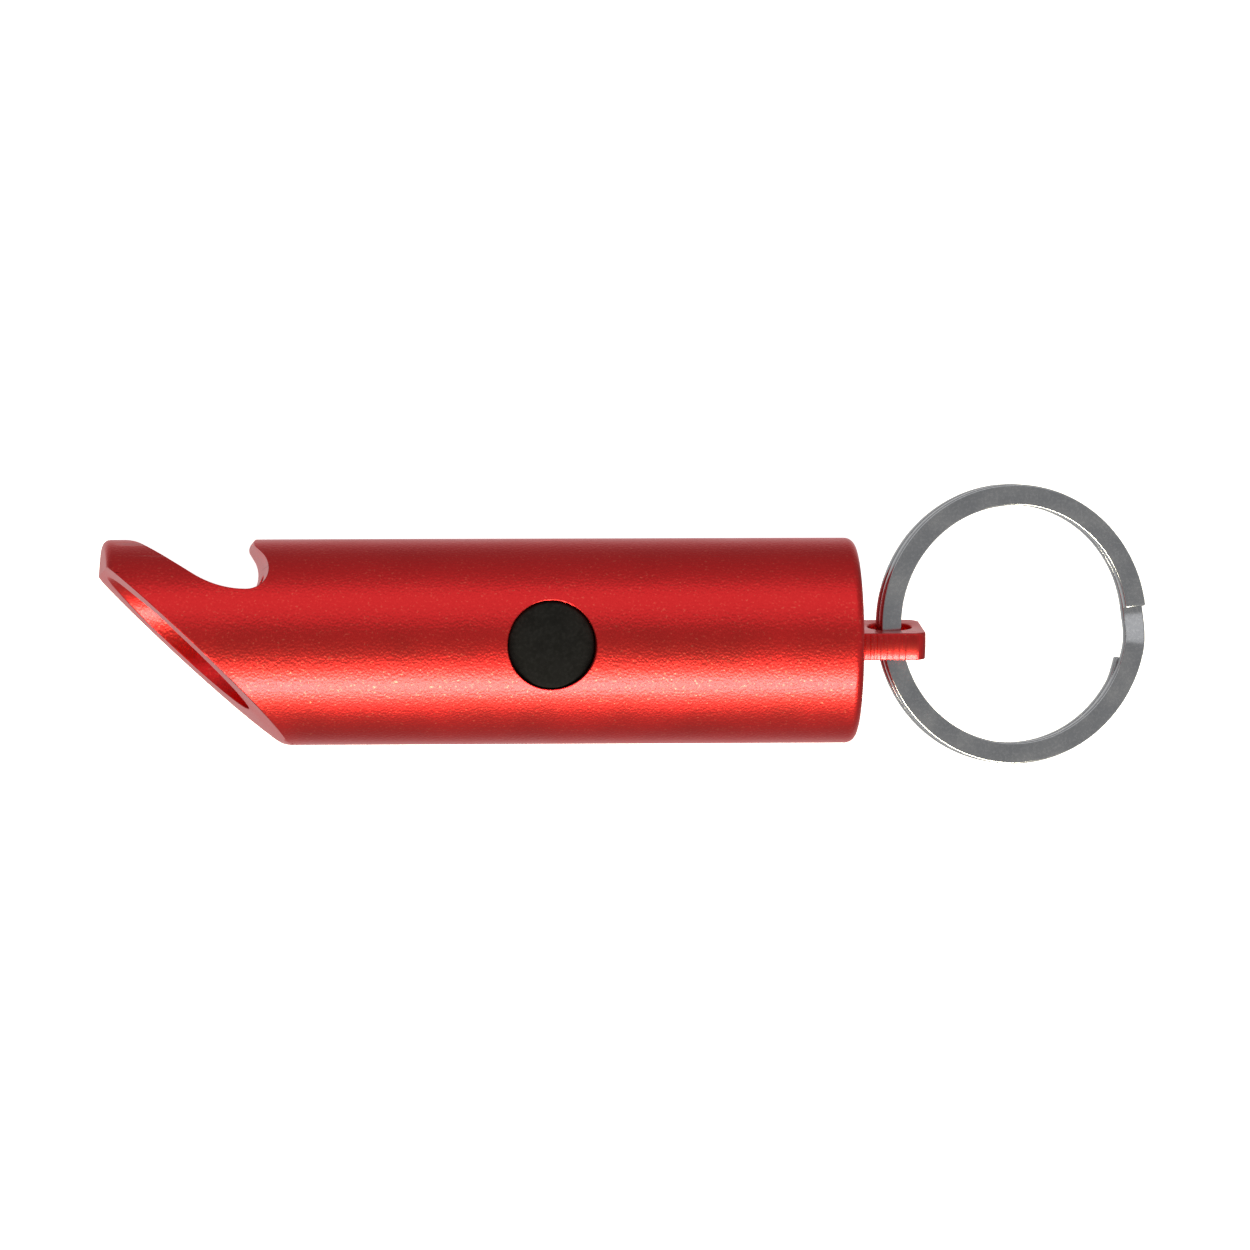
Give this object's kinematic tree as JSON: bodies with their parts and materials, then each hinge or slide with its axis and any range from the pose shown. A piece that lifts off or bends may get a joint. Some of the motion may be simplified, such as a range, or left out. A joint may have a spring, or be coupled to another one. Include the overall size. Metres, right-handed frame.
{
  "type": "keychain flashlight",
  "caption": "Keychain flashlight: round red tube with a push button, a slanted mouth with a bottle-opener notch, and a screw-in end plug whose lug holds a flat split ring.",
  "frame": {"origin": "where the push button's axis crosses the barrel's axis", "axes": "+X along the barrel to the key ring, +Y to the bottle-opener notch, +Z out of the push button"},
  "size_m": [0.0923, 0.0246, 0.018],
  "materials": {
    "red_anodised_aluminium": "bead blasted, red anodised, satin",
    "black_silicone_rubber": "matt, fine mottle",
    "black_plastic": "moulded",
    "spring_steel": "bright rolled",
    "tinned_steel": "tinned",
    "green_board": "solder resist",
    "black_ceramic": "glazed",
    "solder": "reflowed",
    "white_plastic": "moulded",
    "brass_strip": "rolled",
    "clear_epoxy": "clear",
    "yellow_phosphor": "matt",
    "metallised_plastic": "vacuum metallised",
    "clear_acrylic": "polished",
    "black_rubber": "satin",
    "insulating_card": "waxed card",
    "gold_plated_spring": "plated wire",
    "nickel_plated_steel": "nickel plated, fine satin",
    "cell_steel": "nickel plated",
    "cell_nylon": "moulded",
    "cell_charge": "pressed powder"
  },
  "bodies": {
    "barrel": {"barrel": "red_anodised_aluminium", "switch_housing": "black_plastic", "switch_dome": "spring_steel", "switch_cover_plate": "spring_steel", "switch_legs": "tinned_steel", "circuit_board": "green_board", "chip_resistor": "black_ceramic", "solder_joints": "solder", "module_carrier": "white_plastic", "ground_spring": "brass_strip", "front_contact": "brass_strip", "led_lens": "clear_epoxy", "led_leadframe": "tinned_steel", "led_die": "yellow_phosphor", "reflector": "metallised_plastic", "front_window": "clear_acrylic", "window_gasket": "black_rubber", "cell_sleeve": "insulating_card", "cell_can_1": "cell_steel", "cell_cap_1": "cell_steel", "cell_grommet_1": "cell_nylon", "cell_core_1": "cell_charge", "cell_can_2": "cell_steel", "cell_cap_2": "cell_steel", "cell_grommet_2": "cell_nylon", "cell_core_2": "cell_charge", "cell_can_3": "cell_steel", "cell_cap_3": "cell_steel", "cell_grommet_3": "cell_nylon", "cell_core_3": "cell_charge"},
    "button": {"rubber_button": "black_silicone_rubber"},
    "plunger": {"switch_plunger": "black_plastic"},
    "plug_seal": {"plug_o_ring": "black_rubber"},
    "plug": {"end_plug": "red_anodised_aluminium", "contact_spring": "gold_plated_spring"},
    "ring": {"split_ring": "nickel_plated_steel"}
  },
  "joints": [
    {"name": "button_press", "type": "slide", "parent": "barrel", "child": "button", "axis": [0, 0, -1], "range_m": [0, 0.0005], "stiffness_N_per_m": 1500},
    {"name": "plunger_press", "type": "slide", "parent": "barrel", "child": "plunger", "axis": [0, 0, -1], "range_m": [0, 0.0005], "deforming": ["switch_dome"]},
    {"name": "plug_travel", "type": "slide", "parent": "barrel", "child": "plug_seal", "axis": [1, 0, 0], "range_m": [0, 0.006]},
    {"name": "plug_turn", "type": "hinge", "parent": "plug_seal", "child": "plug", "pos_m": [0.024, 0, 0], "axis": [1, 0, 0], "range_deg": [0, 2160]},
    {"name": "ring_swing", "type": "hinge", "parent": "plug", "child": "ring", "pos_m": [0.0305, 0, 0], "axis": [0, 0.9903, 0.1392], "range_deg": [-110, 87]}
  ],
  "couplings": [
    {"joint": "plunger_press", "follows": "button_press", "ratio": 1},
    {"joint": "plug_travel", "follows": "plug_turn", "m_per_rad": 0.00015915}
  ]
}
